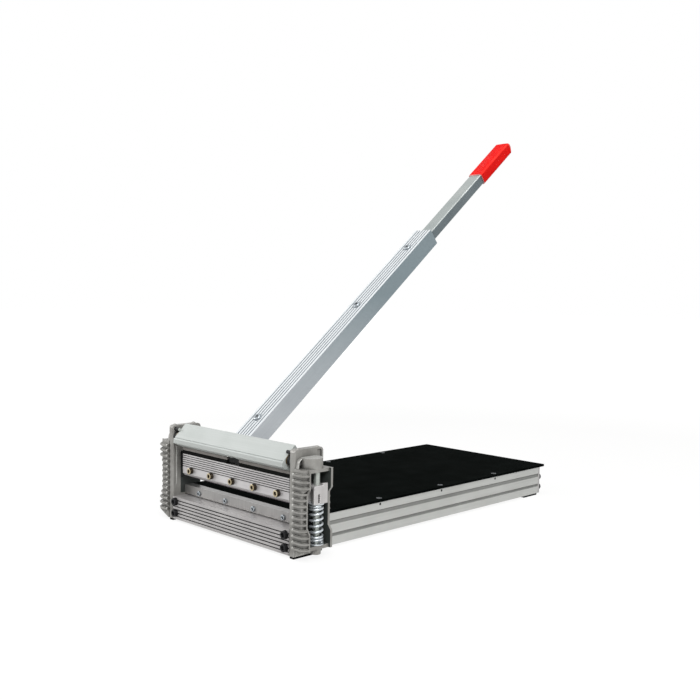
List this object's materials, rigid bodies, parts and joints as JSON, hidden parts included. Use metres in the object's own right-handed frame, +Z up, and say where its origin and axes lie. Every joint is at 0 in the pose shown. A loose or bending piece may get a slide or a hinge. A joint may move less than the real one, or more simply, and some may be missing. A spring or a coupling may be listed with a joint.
{
  "type": "laminate cutter",
  "caption": "Hand lever cutter for laminate planks: cast end posts with sprung guides, a sliding blade under a long cam lever, and a flat table on side rails.",
  "frame": {"origin": "on the floor, under the middle of the tool's footprint", "axes": "+X along the blade to the right, +Y from the posts back along the table, +Z up"},
  "size_m": [0.298, 0.5722, 0.5528],
  "materials": {
    "cast_alloy": "tumbled casting, satin grey",
    "rail_aluminium": "mill finish extrusion, satin",
    "beam_aluminium": "matt anodised",
    "handle_aluminium": "matt anodised",
    "deck_black": "matt black sheet",
    "anvil_steel": "ground",
    "blade_steel": "hardened, dark",
    "zinc_steel": "bright zinc",
    "yoke_steel": "pale zinc",
    "black_oxide_steel": "black oxide",
    "pin_steel": "ground",
    "pad_rubber": "matt",
    "black_nylon": "matt",
    "bush_bronze": "turned",
    "tube_steel": "satin zinc",
    "grip_red": "soft gloss vinyl"
  },
  "bodies": {
    "frame": {"left_post": "cast_alloy", "right_post": "cast_alloy", "front_crossmember": "rail_aluminium", "rear_crossmember": "rail_aluminium", "left_rail": "rail_aluminium", "right_rail": "rail_aluminium", "deck_panel": "deck_black", "deck_screws": "zinc_steel", "rail_side_screws": "black_oxide_steel", "anvil_bar": "anvil_steel", "lower_blade": "anvil_steel", "lower_blade_screws": "zinc_steel", "front_frame_bolts": "black_oxide_steel", "rear_frame_bolts": "black_oxide_steel", "post_screws": "black_oxide_steel", "front_pads": "pad_rubber", "rear_pads": "pad_rubber", "left_guide_rod": "zinc_steel", "right_guide_rod": "zinc_steel", "lower_spring_seats": "zinc_steel", "left_spring": "zinc_steel", "right_spring": "zinc_steel", "pivot_pins": "pin_steel", "pivot_spacers": "black_nylon", "stop_pins": "pin_steel"},
    "carriage": {"blade_carrier": "rail_aluminium", "blade": "blade_steel", "blade_bolts": "black_oxide_steel", "guard_strips": "pad_rubber", "left_yoke": "yoke_steel", "right_yoke": "yoke_steel", "yoke_screws": "black_oxide_steel", "guide_shoes": "black_nylon", "upper_spring_washers": "zinc_steel"},
    "lever": {"lever_beam": "beam_aluminium", "pivot_bushes": "bush_bronze", "cam_block": "black_oxide_steel", "cam_screws": "black_oxide_steel", "handle_root": "handle_aluminium", "root_bolts": "black_oxide_steel", "lower_handle": "handle_aluminium", "handle_tube": "tube_steel", "hand_grip": "grip_red", "handle_bolts": "zinc_steel", "handle_washers": "zinc_steel", "handle_nuts": "zinc_steel"}
  },
  "joints": [
    {"name": "handle_pivot", "type": "hinge", "parent": "frame", "child": "lever", "pos_m": [0, -0.27455, 0.1135], "axis": [1, 0, 0], "range_deg": [-37, 0], "stiffness_Nm_per_rad": 4.5, "springref_deg": 42.97},
    {"name": "blade_slide", "type": "slide", "parent": "frame", "child": "carriage", "axis": [0, 0, 1], "range_m": [-0.01357, 0], "deforming": ["left_spring", "right_spring"]}
  ],
  "couplings": [
    {"joint": "blade_slide", "follows": "handle_pivot", "m_per_rad": 0.021}
  ]
}
